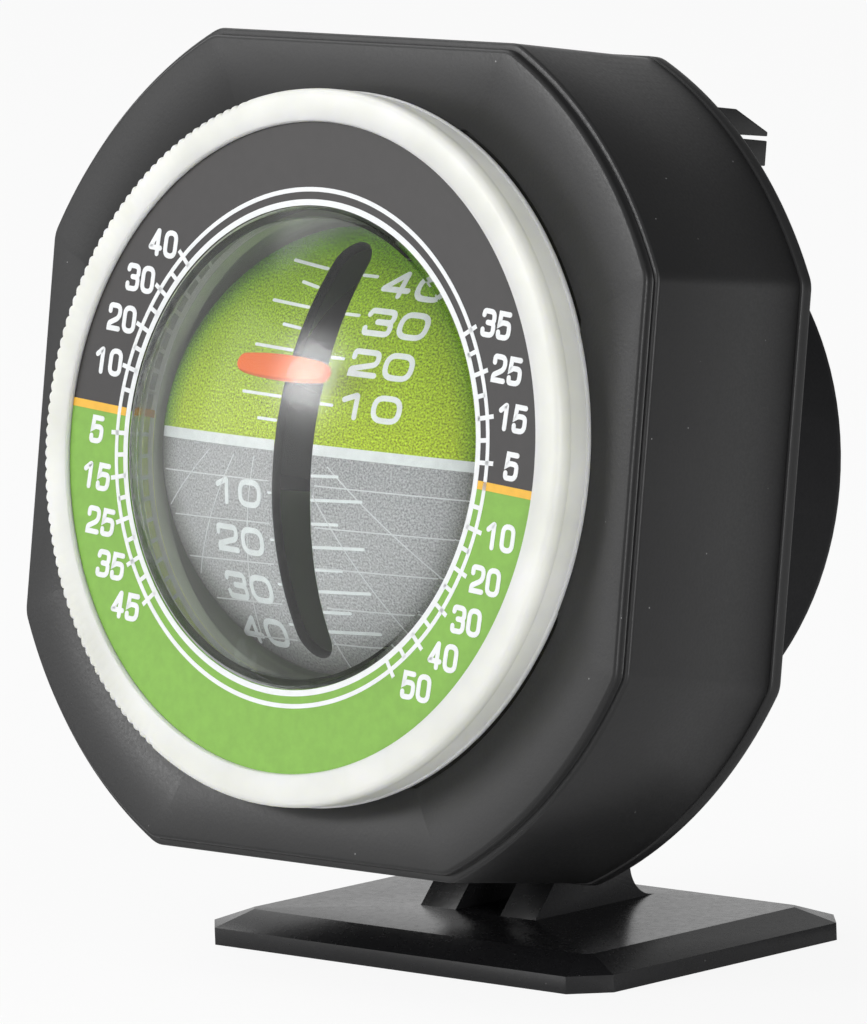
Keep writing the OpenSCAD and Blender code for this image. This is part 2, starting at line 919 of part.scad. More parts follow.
module pointer_flag() {
    color("#ff6a2a")
    pitched(pitch_reading)
    translate([0, flag_t / 2 - swing_r, 0])
    rotate([90, 0, 0])
    linear_extrude(height = flag_t) {
        square([flag_w - flag_h, flag_h], center = true);
        for (side = [-1, 1])
            translate([side * (flag_w - flag_h) / 2, 0]) circle(d = flag_h);
    }
}

module pitch_weight() {
    color(brass)
    pitched(plumb)
    translate([0, 0, -pitch_weight_drop])
    difference() {
        rod_x(pitch_weight_r, pitch_weight_l);
        translate([0, 0, -stalk_r]) cylinder(h = pitch_weight_r + stalk_r + over, r = stalk_r);
    }
}

// ---------- nodes ----------

base_plate();
adhesive_pad();
pivot_screw();
pivot_washer();
pivot_nut();
front_shell();
back_cover();
cover_screws();
instrument_can();
dome_lens();
dome_gasket();
dome_clamp_ring();
bearing_block();
bearing_screws();
roll_bushes();
bezel_ring();
dial_plate();
bezel_retainer();
globe_face();
globe_yoke();
roll_shaft();
roll_weight();
weight_screws();
pitch_bushes();
pitch_axle();
pointer_arm();
pointer_flag();
pitch_weight();
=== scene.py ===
"""Looks of the dial inclinometer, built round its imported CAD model.

Sizes are in millimetres in the head frame, as in the part's source: the origin is the
dial centre on the front face, X runs right, Y back along the dial axis and Z up.
HEAD takes such a point to the row frame in metres.
"""

import json
import math

import bmesh
import bpy
from mathutils import Matrix, Vector


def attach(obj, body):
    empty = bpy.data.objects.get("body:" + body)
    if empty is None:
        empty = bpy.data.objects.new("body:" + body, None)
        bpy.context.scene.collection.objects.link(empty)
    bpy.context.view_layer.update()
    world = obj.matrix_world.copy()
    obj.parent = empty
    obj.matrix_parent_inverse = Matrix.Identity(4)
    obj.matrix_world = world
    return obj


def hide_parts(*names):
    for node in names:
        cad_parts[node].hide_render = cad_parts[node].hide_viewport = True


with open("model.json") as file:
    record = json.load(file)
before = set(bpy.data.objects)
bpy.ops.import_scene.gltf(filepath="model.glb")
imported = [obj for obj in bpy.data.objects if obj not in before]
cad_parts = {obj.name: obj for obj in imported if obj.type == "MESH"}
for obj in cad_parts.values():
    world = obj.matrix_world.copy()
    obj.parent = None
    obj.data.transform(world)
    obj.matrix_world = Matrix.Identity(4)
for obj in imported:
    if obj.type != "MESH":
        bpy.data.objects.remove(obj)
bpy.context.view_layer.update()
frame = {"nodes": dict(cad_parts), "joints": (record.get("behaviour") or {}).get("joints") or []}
joints = {j["name"]: j for j in frame["joints"]}
nodes = frame["nodes"]
MM = 0.001

# ---------- sizes ----------

FACE_W, FACE_H, CORNER_R = 85.3, 84.3, 47.1
VERTEX_FILLET = 3.2
SHELL_D, SHELL_DRAFT, CORNER_DRAFT, SHELL_WALL, PANEL_T = 23.4, 1.2, 0.9, 2.2, 3.0
STEP_D, STEP_IN, RECESS_D, RUN_GAP = 1.0, 0.75, 0.6, 0.35
COVER_T, COVER_GAP, COVER_OVERHANG = 1.7, 0.12, 0.2
CAN_R = 30.0
OPENING_R = 35.95

BEZEL_R, BEZEL_H, BEZEL_IN_R, SKIRT_R = 36.4, 4.7, 33.0, 35.6
BEZEL_TEETH, TOOTH_DEPTH = 194, 0.46
DIAL_Y, DIAL_T, DIAL_HOLE_R = -4.0, 1.0, 24.45
DIAL_TURN = math.radians(4.6)

DOME_R, DOME_H, DOME_WALL = 24.35, 7.0, 1.0
DOME_FLANGE_R, DOME_FLANGE_FRONT, DOME_FLANGE_BACK = 29.4, 1.4, 3.0
CLAMP_Y = -0.3

GLOBE_R, GLOBE_FRONT, GLOBE_T = 22.9, -4.8, 1.2
CURVE_V, CURVE_H = 34.5, 63.0
SLOT_W, SLOT_END_W, SLOT_LEN, SLOT_SWELL = 5.4, 4.8, 42.4, 7.0
GLOBE_ROLL = math.radians(1.86)
PITCH_Y, SWING_R = 16.4, 25.0
PITCH_READING = math.radians(18.6)
FLAG_W, FLAG_H, FLAG_END_H, FLAG_T = 12.4, 2.62, 2.0, 1.0

CLIP_X, CLIP_W, CLIP_Z = 27.3, 6.0, 34.9
CLIP_REACH, CLIP_SLIT, CLIP_UP, CLIP_LOW = 7.5, 0.45, 2.7, 2.8

PRINT_T, PRINT_STEP = 0.04, 0.006

# ---------- frames ----------


def head_frame():
    """Row-frame matrix of the head frame, taken from the bezel's joint."""
    back = Vector(joints["bezel_turn"]["axis"]).normalized()
    right = Vector((1, 0, 0))
    up = right.cross(back)
    turn = Matrix((right, back, up)).transposed().to_4x4()
    turn.translation = Vector(joints["bezel_turn"]["pos_m"])
    return turn


HEAD_M = head_frame()
HEAD = HEAD_M @ Matrix.Scale(MM, 4)


def turned(x, z, angle):
    """Point of the face turned clockwise, as seen from the front."""
    c, s = math.cos(angle), math.sin(angle)
    return x * c + z * s, z * c - x * s


def globe_y(x, z, depth=0.0):
    """Depth of the globe's face below a point of the rolled frame."""
    rise, flat = CURVE_V - depth, CURVE_H - depth
    reach = rise - flat + math.sqrt(flat * flat - x * x)
    return GLOBE_FRONT + CURVE_V - math.sqrt(reach * reach - z * z)


def on_dial(x, z, lift):
    x, z = turned(x, z, DIAL_TURN)
    return x, DIAL_Y - lift, z


def on_clamp(x, z, lift):
    x, z = turned(x, z, DIAL_TURN)
    return x, CLAMP_Y - lift, z


def on_globe(x, z, lift):
    y = globe_y(x, z) - lift
    x, z = turned(x, z, GLOBE_ROLL)
    return x, y, z


# ---------- camera ----------

CAM_AZIMUTH, CAM_ELEVATION, CAM_ROLL = -0.75859, 0.02143, 0.07731
CAM_DISTANCE = 1020.33
CAM_FOCAL_PX = 10067.1
DIAL_CENTRE_PX = (326.55, 449.28)
PHOTO_W, PHOTO_H = 867, 1024
SENSOR = 36.0


def make_camera():
    data = bpy.data.cameras.new("camera")
    data.sensor_width = SENSOR
    data.lens = CAM_FOCAL_PX / PHOTO_H * SENSOR
    data.clip_start, data.clip_end = 0.05, 20.0
    turn = (
        Matrix.Rotation(CAM_ROLL, 3, "Y")
        @ Matrix.Rotation(CAM_ELEVATION, 3, "X")
        @ Matrix.Rotation(CAM_AZIMUTH, 3, "Z")
    )
    right, ahead, up = turn.row[0], turn.row[1], turn.row[2]
    across = (DIAL_CENTRE_PX[0] - PHOTO_W / 2) / CAM_FOCAL_PX * CAM_DISTANCE
    above = (PHOTO_H / 2 - DIAL_CENTRE_PX[1]) / CAM_FOCAL_PX * CAM_DISTANCE
    place = -(right * across + up * above + ahead * CAM_DISTANCE) * MM
    local = Matrix((right, up, -ahead)).transposed().to_4x4()
    local.translation = place
    camera = bpy.data.objects.new("camera", data)
    bpy.context.scene.collection.objects.link(camera)
    camera.matrix_world = HEAD_M @ local
    bpy.context.scene.camera = camera


make_camera()

# ---------- materials ----------


def new_material(name, colour, roughness, **sockets):
    """A Principled material, and the pieces that its texture nodes join."""
    mat = bpy.data.materials.new(name)
    mat.use_nodes = True
    tree = mat.node_tree
    bsdf = tree.nodes["Principled BSDF"]
    bsdf.inputs["Base Color"].default_value = (*colour, 1)
    bsdf.inputs["Roughness"].default_value = roughness
    for key, value in sockets.items():
        bsdf.inputs[key.replace("_", " ")].default_value = value
    return mat, tree, bsdf


def object_coords(tree):
    return tree.nodes.new("ShaderNodeTexCoord").outputs["Object"]


def noise(tree, size_mm, detail=3.0):
    node = tree.nodes.new("ShaderNodeTexNoise")
    node.inputs["Scale"].default_value = 1 / (size_mm * MM)
    node.inputs["Detail"].default_value = detail
    tree.links.new(object_coords(tree), node.inputs["Vector"])
    return node.outputs["Fac"]


def spread(tree, value, low, high, out_low, out_high):
    """Value mapped from one range to another, and held at its ends."""
    node = tree.nodes.new("ShaderNodeMapRange")
    ends = {"From Min": low, "From Max": high, "To Min": out_low, "To Max": out_high}
    for key, end in ends.items():
        node.inputs[key].default_value = end
    tree.links.new(value, node.inputs["Value"])
    return node.outputs["Result"]


def mix_colour(tree, factor, first, second):
    """Colour between two colours or sockets, by a factor socket."""
    node = tree.nodes.new("ShaderNodeMix")
    node.data_type = "RGBA"
    tree.links.new(factor, node.inputs["Factor"])
    for value, key in ((first, "A"), (second, "B")):
        socket = [s for s in node.inputs if s.name == key and s.type == "RGBA"][0]
        if isinstance(value, tuple):
            socket.default_value = (*value, 1)
        else:
            tree.links.new(value, socket)
    return [s for s in node.outputs if s.type == "RGBA"][0]


def add_bump(tree, bsdf, height, depth_mm):
    node = tree.nodes.new("ShaderNodeBump")
    node.inputs["Strength"].default_value = 1.0
    node.inputs["Distance"].default_value = depth_mm * MM
    tree.links.new(height, node.inputs["Height"])
    tree.links.new(node.outputs["Normal"], bsdf.inputs["Normal"])


def shades(tree, tone, colour, dark, light):
    """Colour that a noise moves between a darker and a lighter shade of it."""
    darker = tuple(c * dark for c in colour)
    lighter = tuple(min(1.0, c * light) for c in colour)
    return mix_colour(tree, spread(tree, tone, 0.3, 0.7, 0.0, 1.0), darker, lighter)


def vary_gloss(tree, bsdf, grain, smoother, rougher):
    tree.links.new(spread(tree, grain, 0.2, 0.8, smoother, rougher), bsdf.inputs["Roughness"])


DUST_SPACING_MM, DUST_CORE, DUST_EDGE, DUST_TONE = 3.2, 0.022, 0.032, (0.5, 0.5, 0.5)


def moulded_plastic(name, colour, roughness, grain_mm=0.35, bump_mm=0.012, dust=0.0, **sockets):
    """Moulded plastic: fine grain, uneven gloss and, where asked, specks of dust."""
    mat, tree, bsdf = new_material(name, colour, roughness, **sockets)
    grain = noise(tree, grain_mm, detail=2.0)
    tint = shades(tree, noise(tree, 14.0), colour, 0.88, 1.12)
    if dust:
        specks = tree.nodes.new("ShaderNodeTexVoronoi")
        specks.inputs["Scale"].default_value = 1 / (DUST_SPACING_MM * MM)
        tree.links.new(object_coords(tree), specks.inputs["Vector"])
        near = spread(tree, specks.outputs["Distance"], DUST_CORE, DUST_EDGE, dust, 0.0)
        tint = mix_colour(tree, near, tint, DUST_TONE)
    tree.links.new(tint, bsdf.inputs["Base Color"])
    vary_gloss(tree, bsdf, grain, roughness - 0.05, roughness + 0.05)
    add_bump(tree, bsdf, grain, bump_mm)
    return mat


def metal(name, colour, roughness):
    """Turned or plated metal with fine brushing and slight stains."""
    mat, tree, bsdf = new_material(name, colour, roughness, Metallic=1.0)
    lines = noise(tree, 0.15, detail=4.0)
    tint = shades(tree, noise(tree, 4.0), colour, 0.8, 1.0)
    tree.links.new(tint, bsdf.inputs["Base Color"])
    vary_gloss(tree, bsdf, lines, roughness - 0.08, roughness + 0.1)
    add_bump(tree, bsdf, lines, 0.004)
    return mat


def printed(name, colour, roughness=0.45, mottle=0.06, **sockets):
    """Ink: nearly even colour with faint mottling."""
    mat, tree, bsdf = new_material(name, colour, roughness, **sockets)
    cloud = noise(tree, 1.2, detail=4.0)
    tree.links.new(shades(tree, cloud, colour, 1 - mottle, 1 + mottle), bsdf.inputs["Base Color"])
    vary_gloss(tree, bsdf, cloud, roughness - 0.04, roughness + 0.04)
    add_bump(tree, bsdf, cloud, 0.003)
    return mat


def face_coords(tree):
    """Place on the globe's face in millimetres, kept in its UV map, and its height."""
    node = tree.nodes.new("ShaderNodeUVMap")
    node.uv_map = "face"
    split = tree.nodes.new("ShaderNodeSeparateXYZ")
    tree.links.new(node.outputs["UV"], split.inputs["Vector"])
    return node.outputs["UV"], split.outputs["Y"]


SHADED_RIM_START, SHADED_RIM_SHARE, GRAINS_PER_MM = 0.84, 0.85, 4.6


def grained_print(name, low, high, edge, z_low, z_high, grain_depth):
    """Globe print: a vertical blend of two colours under a fine grain, darker at its rim with
    painted shade.
    """
    mat, tree, bsdf = new_material(name, low, 0.5, Specular_IOR_Level=0.15)
    uv, height = face_coords(tree)
    climb = spread(tree, height, z_low, z_high, 0.0, 1.0)
    tint = mix_colour(tree, climb, low, high)
    distance = tree.nodes.new("ShaderNodeVectorMath")
    distance.operation = "LENGTH"
    tree.links.new(uv, distance.inputs[0])
    # Painted shade: towards the rim the colour blends into the darker edge colour.
    rim = spread(tree, distance.outputs["Value"], GLOBE_R * SHADED_RIM_START, GLOBE_R, 0.0, SHADED_RIM_SHARE)
    tint = mix_colour(tree, rim, tint, edge)
    fine = tree.nodes.new("ShaderNodeTexNoise")
    fine.inputs["Scale"].default_value = GRAINS_PER_MM
    fine.inputs["Detail"].default_value = 2.0
    tree.links.new(uv, fine.inputs["Vector"])
    darker = spread(tree, fine.outputs["Fac"], 0.3, 0.7, 1 - grain_depth, 1 + grain_depth)
    scaled = tree.nodes.new("ShaderNodeVectorMath")
    scaled.operation = "SCALE"
    tree.links.new(tint, scaled.inputs[0])
    tree.links.new(darker, scaled.inputs["Scale"])
    tree.links.new(scaled.outputs["Vector"], bsdf.inputs["Base Color"])
    add_bump(tree, bsdf, fine.outputs["Fac"], 0.01)
    return mat


def clear_plastic(name):
    mat, tree, bsdf = new_material(
        name, (0.97, 0.99, 0.98), 0.02, IOR=1.08, Transmission_Weight=1.0,
        Coat_Weight=0.75, Coat_Roughness=0.22, Coat_IOR=1.5,
    )
    haze = noise(tree, 6.0, detail=4.0)
    tree.links.new(spread(tree, haze, 0.3, 0.75, 0.01, 0.05), bsdf.inputs["Roughness"])
    add_bump(tree, bsdf, haze, 0.003)
    return mat


CASE = moulded_plastic("case_black", (0.0115, 0.0115, 0.012), 0.4, dust=0.5)
COVER = moulded_plastic("cover_black", (0.015, 0.015, 0.0155), 0.4, dust=0.3)
CAN = moulded_plastic("can_black", (0.008, 0.008, 0.009), 0.6, Specular_IOR_Level=0.2)
BASE = moulded_plastic(
    "base_black", (0.012, 0.012, 0.013), 0.25, grain_mm=0.6, bump_mm=0.006, dust=0.2,
)
MECHANISM = moulded_plastic("mechanism_grey", (0.07, 0.07, 0.07), 0.6, bump_mm=0.002)
IVORY = moulded_plastic(
    "luminous_ivory", (0.85, 0.86, 0.80), 0.4, grain_mm=0.5, bump_mm=0.006,
    Subsurface_Weight=0.8, Subsurface_Scale=0.0025, Subsurface_Radius=(1.0, 1.0, 0.8),
)
RUBBER = moulded_plastic("gasket_rubber", (0.02, 0.02, 0.02), 0.7)
FOAM = moulded_plastic("foam_tape", (0.11, 0.11, 0.12), 0.9, grain_mm=0.5, bump_mm=0.15)
STEEL = metal("plated_steel", (0.55, 0.55, 0.56), 0.3)
BRASS = metal("turned_brass", (0.72, 0.52, 0.24), 0.28)
CHARCOAL = printed("print_charcoal", (0.036, 0.033, 0.033), 0.36)
GREEN = printed("print_green", (0.26, 0.51, 0.09), 0.45, Specular_IOR_Level=0.3)
WHITE = printed("print_white", (0.92, 0.94, 0.95), 0.4, mottle=0.03)
AMBER = printed("print_amber", (0.95, 0.52, 0.04), 0.4)
ORANGE = moulded_plastic("pointer_orange", (1.0, 0.15, 0.002), 0.6, Specular_IOR_Level=0.1)
# Painted refraction: bright copies of the dial's colours that stand in for the dial's image
# refracted through the dome's rim.
PAINTED_REFRACTION_GREY = printed("painted_refraction_grey", (0.46, 0.47, 0.42), 0.5)
PAINTED_REFRACTION_GREEN = printed("painted_refraction_green", (0.86, 0.92, 0.20), 0.5)
PAINTED_REFRACTION_CREAM = printed("painted_refraction_cream", (1.0, 0.99, 0.92), 0.5)
PAINTED_REFRACTION_AMBER = printed("painted_refraction_amber", (0.8, 0.38, 0.08), 0.5)
# Each field's edge colour is painted shade, darkening the globe's rim.
FIELD_GREEN = grained_print(
    "globe_green", low=(0.45, 0.58, 0.03), high=(0.21, 0.38, 0.006), edge=(0.09, 0.30, 0.006),
    z_low=1.0, z_high=20.0, grain_depth=0.6,
)
FIELD_GREY = grained_print(
    "globe_grey", low=(0.48, 0.48, 0.49), high=(0.43, 0.43, 0.44), edge=(0.16, 0.16, 0.14),
    z_low=-14.0, z_high=-1.0, grain_depth=0.45,
)
GLOBE_WHITE = printed("globe_white", (0.86, 0.89, 0.9), 0.45)
GRID_LINE = printed("grid_line", (0.72, 0.73, 0.74), 0.5)
BLACK_BAND = moulded_plastic(
    "pointer_black", (0.010, 0.010, 0.010), 0.65, bump_mm=0.002, Specular_IOR_Level=0.12,
)
CLEAR = clear_plastic("clear_acrylic")
# The clamp ring's pale green-grey is painted light: brightened to stand in for light piped through
# the clear acrylic into its shaded bore.
CLAMP_PAINTED_LIGHT = moulded_plastic("clamp_painted_light", (0.60, 0.66, 0.48), 0.5)
# The can's inner wall colour is partly a pale inner wall, partly painted light: brightness and a
# green tint that stand in for the globe's reflection in its shade.
CAN_INSIDE_PAINTED_LIGHT = moulded_plastic("can_inside_painted_light", (0.56, 0.68, 0.40), 0.6)

# ---------- mesh tools ----------


def make_piece(name, verts, faces, mats, body, pick=None, sharp=35, uv=None):
    """Object from points in the head frame; pick gives a face's material by its centre."""
    mesh = bpy.data.meshes.new(name)
    mesh.from_pydata([HEAD @ Vector(v) for v in verts], [], faces)
    for mat in mats if isinstance(mats, (list, tuple)) else [mats]:
        mesh.materials.append(mat)
    if pick:
        for face in mesh.polygons:
            corners = [verts[i] for i in face.vertices]
            centre = [sum(corner[k] for corner in corners) / len(corners) for k in range(3)]
            face.material_index = pick(*centre)
    if uv:
        layer = mesh.uv_layers.new(name="face")
        for loop in mesh.loops:
            layer.data[loop.index].uv = uv[loop.vertex_index]
    form = bmesh.new()
    form.from_mesh(mesh)
    bmesh.ops.recalc_face_normals(form, faces=form.faces)
    form.to_mesh(mesh)
    form.free()
    mesh.shade_smooth()
    mesh.set_sharp_from_angle(angle=math.radians(sharp))
    piece = bpy.data.objects.new(name, mesh)
    bpy.context.scene.collection.objects.link(piece)
    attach(piece, body)
    return piece


def stand_for(piece, slot, *replaced):
    if replaced:
        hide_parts(*replaced)
    return piece


def loft(rings):
    """Closed band through rings of points that all have the same count."""
    count = len(rings[0])
    verts = [p for ring in rings for p in ring]
    faces = []
    for r in range(len(rings)):
        below = ((r + 1) % len(rings)) * count
        for k in range(count):
            ahead = (k + 1) % count
            faces.append((r * count + k, r * count + ahead, below + ahead, below + k))
    return verts, faces


def lathe(profile, steps=192, reach=None):
    """Closed band of (radius, y) points turned about the dial axis."""
    rings = []
    for radius, y in profile:
        ring = []
        for k in range(steps):
            angle = 2 * math.pi * k / steps
            r = radius if reach is None else reach(radius, y, angle)
            ring.append((r * math.cos(angle), y, r * math.sin(angle)))
        rings.append(ring)
    return loft(rings)


def arc(cx, cy, radius, start, end, steps):
    """Points on an arc, in degrees."""
    out = []
    for k in range(steps + 1):
        a = math.radians(start + (end - start) * k / steps)
        out.append((cx + radius * math.cos(a), cy + radius * math.sin(a)))
    return out


def face_outline(inset, behind=0.0):
    """Face outline: a rectangle whose corners one circle cuts, its eight vertices filleted.

    behind runs from 0 at the ledge to 1 at the parting line, where the sides have narrowed."""
    half_w = FACE_W / 2 - inset - behind * SHELL_DRAFT
    half_h, big = FACE_H / 2 - inset, CORNER_R - inset - behind * CORNER_DRAFT
    q = VERTEX_FILLET
    side_z = math.sqrt((big - q) ** 2 - (half_w - q) ** 2)
    top_x = math.sqrt((big - q) ** 2 - (half_h - q) ** 2)
    low = math.degrees(math.atan2(side_z, half_w - q))
    high = math.degrees(math.atan2(half_h - q, top_x))
    quarter = arc(half_w - q, side_z, q, 0, low, 6)
    quarter += arc(0, 0, big, low, high, 26)[1:-1]
    quarter += arc(top_x, half_h - q, q, high, 90, 6)
    left = [(-x, z) for x, z in reversed(quarter)]
    upper = quarter + left
    return upper + [(-x, -z) for x, z in upper]


def face_ring(inset, y, behind=0.0):
    return [(x, y, z) for x, z in face_outline(inset, behind)]


def round_ring(radius, y):
    """Circle whose points lie at the angles of the face outline's points."""
    ring = []
    for x, z in face_outline(0):
        a = math.atan2(z, x)
        ring.append((radius * math.cos(a), y, radius * math.sin(a)))
    return ring


JOIN_MM, FLAT_ANGLE = 0.002, math.radians(0.6)


def soften(node, name, mat, width_mm, slot, body, angle=28):
    """Copy of a CAD node with its flat facets joined and its edges rounded."""
    mesh = nodes[node].data.copy()
    mesh.name = name
    form = bmesh.new()
    form.from_mesh(mesh)
    bmesh.ops.remove_doubles(form, verts=form.verts, dist=JOIN_MM * MM)
    bmesh.ops.dissolve_limit(form, angle_limit=FLAT_ANGLE, verts=form.verts, edges=form.edges)
    form.to_mesh(mesh)
    form.free()
    mesh.materials.clear()
    mesh.materials.append(mat)
    piece = bpy.data.objects.new(name, mesh)
    bpy.context.scene.collection.objects.link(piece)
    bevel = piece.modifiers.new("rounding", "BEVEL")
    bevel.width = width_mm * MM
    bevel.segments = 2
    bevel.limit_method = "ANGLE"
    bevel.angle_limit = math.radians(angle)
    bevel.harden_normals = True
    mesh.shade_smooth()
    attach(piece, body)
    return stand_for(piece, slot, node)


# ---------- prints ----------


def rounded(points, radius, closed=False, steps=5):
    """Polyline of (x, z, roundness) points with its corners turned into arcs."""
    pts = [Vector(p[:2]) for p in points]
    count = len(pts)
    out = []
    for i, p in enumerate(pts):
        if points[i][2] == 0 or not closed and i in (0, count - 1):
            out.append(p)
            continue
        before, after = pts[i - 1] - p, pts[(i + 1) % count] - p
        r = min(radius * points[i][2], before.length * 0.48, after.length * 0.48)
        a, b = p + before.normalized() * r, p + after.normalized() * r
        for k in range(steps + 1):
            t = k / steps
            out.append(a.lerp(p, t).lerp(p.lerp(b, t), t))
    return out


def stroke(points, width, closed=False, round_ends=True):
    """Mitred strip along a polyline, as 2D points and faces."""
    pts = [Vector(p) for p in points]
    count = len(pts)
    verts, faces = [], []
    for i, p in enumerate(pts):
        before = pts[i - 1] if (closed or i) else None
        after = pts[(i + 1) % count] if (closed or i < count - 1) else None
        first = (p - before).normalized() if before is not None else None
        second = (after - p).normalized() if after is not None else None
        along = ((first or second) + (second or first)).normalized()
        side = Vector((-along.y, along.x))
        cut = max(0.5, side.dot(Vector((-(second or first).y, (second or first).x))))
        verts += [p + side * width / 2 / cut, p - side * width / 2 / cut]
    for i in range(count if closed else count - 1):
        a, b = 2 * i, 2 * ((i + 1) % count)
        faces.append((a, a + 1, b + 1, b))
    if round_ends and not closed:
        for end, inner in ((0, 1), (count - 1, count - 2)):
            out = (pts[end] - pts[inner]).normalized()
            side = Vector((-out.y, out.x))
            start = len(verts)
            for k in range(7):
                a = math.pi * k / 6
                verts.append(pts[end] + (side * math.cos(a) + out * math.sin(a)) * width / 2)
            faces.append(tuple(range(start, start + 7)))
    return verts, faces


STRETCH = 0.8


def finely(points, step=STRETCH, closed=False):
    """Polyline with points added so that no stretch is longer than step."""
    pts = [Vector(p) for p in points]
    ends = pts[1:] + ([pts[0]] if closed else [])
    out = []
    for a, b in zip(pts, ends):
        parts = max(1, math.ceil((b - a).length / step))
        out += [a.lerp(b, k / parts) for k in range(parts)]
    return out if closed else out + [pts[-1]]


def ring_line(radius, start=0.0, end=360.0):
    """Points of an arc about the dial's centre, or of a whole circle without its last one."""
    pts = arc(0, 0, radius, start, end, round((end - start) * 0.6))
    return pts[:-1] if end - start >= 360 else pts


# Strokes of each digit in a unit box, as corners (x, z, roundness) and whether they close.
DIGITS = {
    "0": [([(0, 0, 1), (1, 0, 1), (1, 1, 1), (0, 1, 1)], True)],
    "1": [([(0.1, 0.74, 0), (0.62, 1, 0.2), (0.62, 0, 0)], False)],
    "2": [
        ([(0, 0.74, 0), (0, 1, 1), (1, 1, 1), (1, 0.5, 0.8), (0, 0.2, 0.7), (0, 0, 0), (1, 0, 0)],
         False),
    ],
    "3": [
        ([(0, 0.82, 0), (0.06, 1, 0.8), (1, 1, 1), (1, 0.53, 0.7), (0.42, 0.52, 0)], False),
        ([(0.42, 0.52, 0), (1, 0.51, 0.7), (1, 0, 1), (0.02, 0, 0.9), (0, 0.2, 0)], False),
    ],
    "4": [
        ([(0.72, 1, 0), (0.72, 0, 0)], False),
        ([(0.7, 1, 0), (0, 0.26, 0.1), (1, 0.26, 0)], False),
    ],
    "5": [
        ([(0.94, 1, 0), (0.1, 1, 0), (0.05, 0.53, 0), (0.3, 0.62, 0.5),
          (1, 0.62, 1), (1, 0, 1), (0.02, 0, 0.9), (0, 0.2, 0)],
         False),
    ],
}


def number(text, centre, width, height, gap, corner, thick):
    """Strokes of a number, centred on a point."""
    total = len(text) * width + (len(text) - 1) * gap
    left = centre[0] - total / 2
    across, up = width - thick, height - thick
    shapes = []
    for i, digit in enumerate(text):
        x0 = left + i * (width + gap) + thick / 2
        z0 = centre[1] - height / 2 + thick / 2
        for points, closed in DIGITS[digit]:
            scaled = [(x0 + x * across, z0 + z * up, bend) for x, z, bend in points]
            path = finely(rounded(scaled, corner, closed), STRETCH, closed)
            shapes.append(stroke(path, thick, closed))
    return shapes


def print_piece(name, shapes, place, mat, body, slot, lift=0.0):
    """Thin raised ink from 2D shapes, laid on a surface."""
    verts, faces = [], []
    for turn, (points, polygons) in enumerate(shapes):
        start = len(verts)
        step = lift + turn % 3 * PRINT_STEP
        verts += [place(p[0], p[1], step) for p in points]
        faces += [tuple(start + i for i in polygon) for polygon in polygons]
    piece = make_piece(name, verts, faces, mat, body)
    turn_outward(piece)
    piece.data.shade_flat()
    ink = piece.modifiers.new("ink", "SOLIDIFY")
    ink.thickness = PRINT_T * MM
    ink.offset = 1.0
    return stand_for(piece, slot)


def turn_outward(piece):
    """Faces of a print look out of the dial."""
    out = HEAD_M.to_3x3() @ Vector((0, -1, 0))
    form = bmesh.new()
    form.from_mesh(piece.data)
    wrong = [f for f in form.faces if f.normal.dot(out) < 0]
    bmesh.ops.reverse_faces(form, faces=wrong)
    form.to_mesh(piece.data)
    form.free()


# ---------- housing ----------


def front_shell():
    recess = BEZEL_R + RUN_GAP
    rings = [
        round_ring(OPENING_R, PANEL_T), round_ring(OPENING_R, RECESS_D),
        round_ring(recess, RECESS_D), round_ring(recess, 0.12), round_ring(recess + 0.12, 0),
        face_ring(STEP_IN + 0.45, 0), face_ring(STEP_IN + 0.2, 0.05),
        face_ring(STEP_IN + 0.05, 0.2), face_ring(STEP_IN, 0.45),
        face_ring(STEP_IN, STEP_D - 0.1), face_ring(STEP_IN - 0.08, STEP_D),
        face_ring(0.25, STEP_D), face_ring(0.08, STEP_D + 0.07),
        face_ring(0.01, STEP_D + 0.25), face_ring(0.01, STEP_D + 0.45),
        face_ring(0, SHELL_D - 0.12, 1), face_ring(0.12, SHELL_D, 1),
        face_ring(SHELL_WALL, SHELL_D, 1), face_ring(SHELL_WALL, PANEL_T, 1),
    ]
    verts, faces = loft(rings)
    piece = make_piece("case_front", verts, faces, CASE, "head", sharp=50)
    return stand_for(piece, "case_plastic", "front_shell")


def back_cover():
    front, back = SHELL_D + COVER_GAP, SHELL_D + COVER_T
    hole = CAN_R + 0.2
    insets = (
        (0.1, front), (0, front + 0.1), (0, back - 0.35),
        (0.05, back - 0.15), (0.16, back - 0.04), (0.35, back),
    )
    edge = [face_ring(inset - COVER_OVERHANG, y, 1) for inset, y in insets]
    mouth = [round_ring(hole + 0.2, back), round_ring(hole, back - 0.2)]
    verts, faces = loft([round_ring(hole, front)] + edge + mouth)
    piece = make_piece("cover_plate", verts, faces, COVER, "head", sharp=50)
    return stand_for(piece, "cover_plastic", "back_cover")


